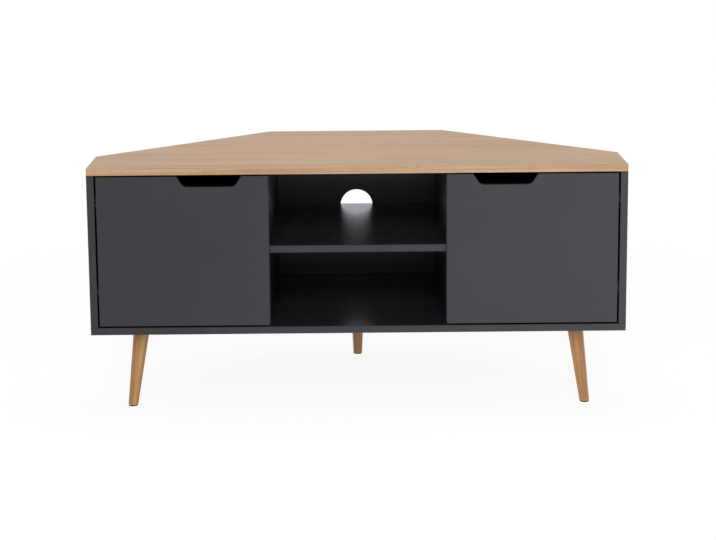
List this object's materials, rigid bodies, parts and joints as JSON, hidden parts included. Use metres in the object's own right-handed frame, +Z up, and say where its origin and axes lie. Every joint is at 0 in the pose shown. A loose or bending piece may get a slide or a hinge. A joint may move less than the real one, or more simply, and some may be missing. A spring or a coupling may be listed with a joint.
{
  "type": "corner tv cabinet",
  "caption": "Low six-sided corner cabinet on splayed round legs: two cupboards with inset hinged doors beside an open bay with a mid shelf and a cable hole.",
  "frame": {"origin": "centre of the cabinet's footprint box on the floor", "axes": "+X to the right seen from the front along the long front edge, the doors face -Y, +Y towards the room corner, +Z up"},
  "size_m": [1.1, 0.514, 0.52],
  "materials": {
    "oak_top": "light oak-effect board, matt, grain along the length",
    "dark_lacquer": "dark grey satin lacquered board",
    "oak_leg": "clear satin oak, grain along the leg",
    "dark_pad": "dark brown glide",
    "nickel": "nickel plated pressed steel",
    "zinc": "zinc plated steel",
    "clear_pad": "soft clear bumper"
  },
  "bodies": {
    "cabinet": {"bottom_panel": "dark_lacquer", "centre_back_panel": "dark_lacquer", "centre_shelf": "dark_lacquer", "front_left_foot_pad": "dark_pad", "front_left_hanger_bolt": "zinc", "front_left_leg": "oak_leg", "front_left_leg_plate": "zinc", "front_right_foot_pad": "dark_pad", "front_right_hanger_bolt": "zinc", "front_right_leg": "oak_leg", "front_right_leg_plate": "zinc", "left_back_panel": "dark_lacquer", "left_divider": "dark_lacquer", "left_divider_lower_cam_lock": "zinc", "left_divider_upper_cam_lock": "zinc", "left_front_shelf_pin": "nickel", "left_lower_hinge_arm": "nickel", "left_lower_hinge_plate": "nickel", "left_rear_shelf_pin": "nickel", "left_side_lower_cam_lock": "zinc", "left_side_panel": "dark_lacquer", "left_side_upper_cam_lock": "zinc", "left_upper_hinge_arm": "nickel", "left_upper_hinge_plate": "nickel", "rear_foot_pad": "dark_pad", "rear_hanger_bolt": "zinc", "rear_leg": "oak_leg", "rear_leg_plate": "zinc", "right_back_panel": "dark_lacquer", "right_divider": "dark_lacquer", "right_divider_lower_cam_lock": "zinc", "right_divider_upper_cam_lock": "zinc", "right_front_shelf_pin": "nickel", "right_lower_hinge_arm": "nickel", "right_lower_hinge_plate": "nickel", "right_rear_shelf_pin": "nickel", "right_side_lower_cam_lock": "zinc", "right_side_panel": "dark_lacquer", "right_side_upper_cam_lock": "zinc", "right_upper_hinge_arm": "nickel", "right_upper_hinge_plate": "nickel", "top_panel": "oak_top"},
    "left_door": {"left_door": "dark_lacquer", "left_door_lower_bumper": "clear_pad", "left_door_upper_bumper": "clear_pad", "left_lower_hinge_cup": "nickel", "left_upper_hinge_cup": "nickel"},
    "left_outer_links": {"left_lower_hinge_outer_link": "nickel", "left_upper_hinge_outer_link": "nickel"},
    "left_inner_links": {"left_lower_hinge_inner_link": "nickel", "left_upper_hinge_inner_link": "nickel"},
    "right_door": {"right_door": "dark_lacquer", "right_door_lower_bumper": "clear_pad", "right_door_upper_bumper": "clear_pad", "right_lower_hinge_cup": "nickel", "right_upper_hinge_cup": "nickel"},
    "right_outer_links": {"right_lower_hinge_outer_link": "nickel", "right_upper_hinge_outer_link": "nickel"},
    "right_inner_links": {"right_lower_hinge_inner_link": "nickel", "right_upper_hinge_inner_link": "nickel"}
  },
  "joints": [
    {"name": "left_outer_link_swing", "type": "hinge", "parent": "cabinet", "child": "left_outer_links", "pos_m": [-0.5132, -0.23642, 0], "axis": [0, 0, -1], "range_deg": [0, 43.01]},
    {"name": "left_door_swing", "type": "hinge", "parent": "left_outer_links", "child": "left_door", "pos_m": [-0.5058, -0.25072, 0], "axis": [0, 0, -1], "range_deg": [0, 57]},
    {"name": "left_inner_link_swing", "type": "hinge", "parent": "cabinet", "child": "left_inner_links", "pos_m": [-0.51393, -0.24086, 0], "axis": [0, 0, -1], "range_deg": [0, 67.21]},
    {"name": "right_outer_link_swing", "type": "hinge", "parent": "cabinet", "child": "right_outer_links", "pos_m": [0.5132, -0.23642, 0], "axis": [0, 0, 1], "range_deg": [0, 43.01]},
    {"name": "right_door_swing", "type": "hinge", "parent": "right_outer_links", "child": "right_door", "pos_m": [0.5058, -0.25072, 0], "axis": [0, 0, 1], "range_deg": [0, 57]},
    {"name": "right_inner_link_swing", "type": "hinge", "parent": "cabinet", "child": "right_inner_links", "pos_m": [0.51393, -0.24086, 0], "axis": [0, 0, 1], "range_deg": [0, 67.21]}
  ],
  "couplings": [
    {"joint": "left_outer_link_swing", "follows": "left_door_swing", "ratio": 0.75439},
    {"joint": "left_inner_link_swing", "follows": "left_door_swing", "ratio": 1.1789},
    {"joint": "right_outer_link_swing", "follows": "right_door_swing", "ratio": 0.75439},
    {"joint": "right_inner_link_swing", "follows": "right_door_swing", "ratio": 1.1789}
  ]
}
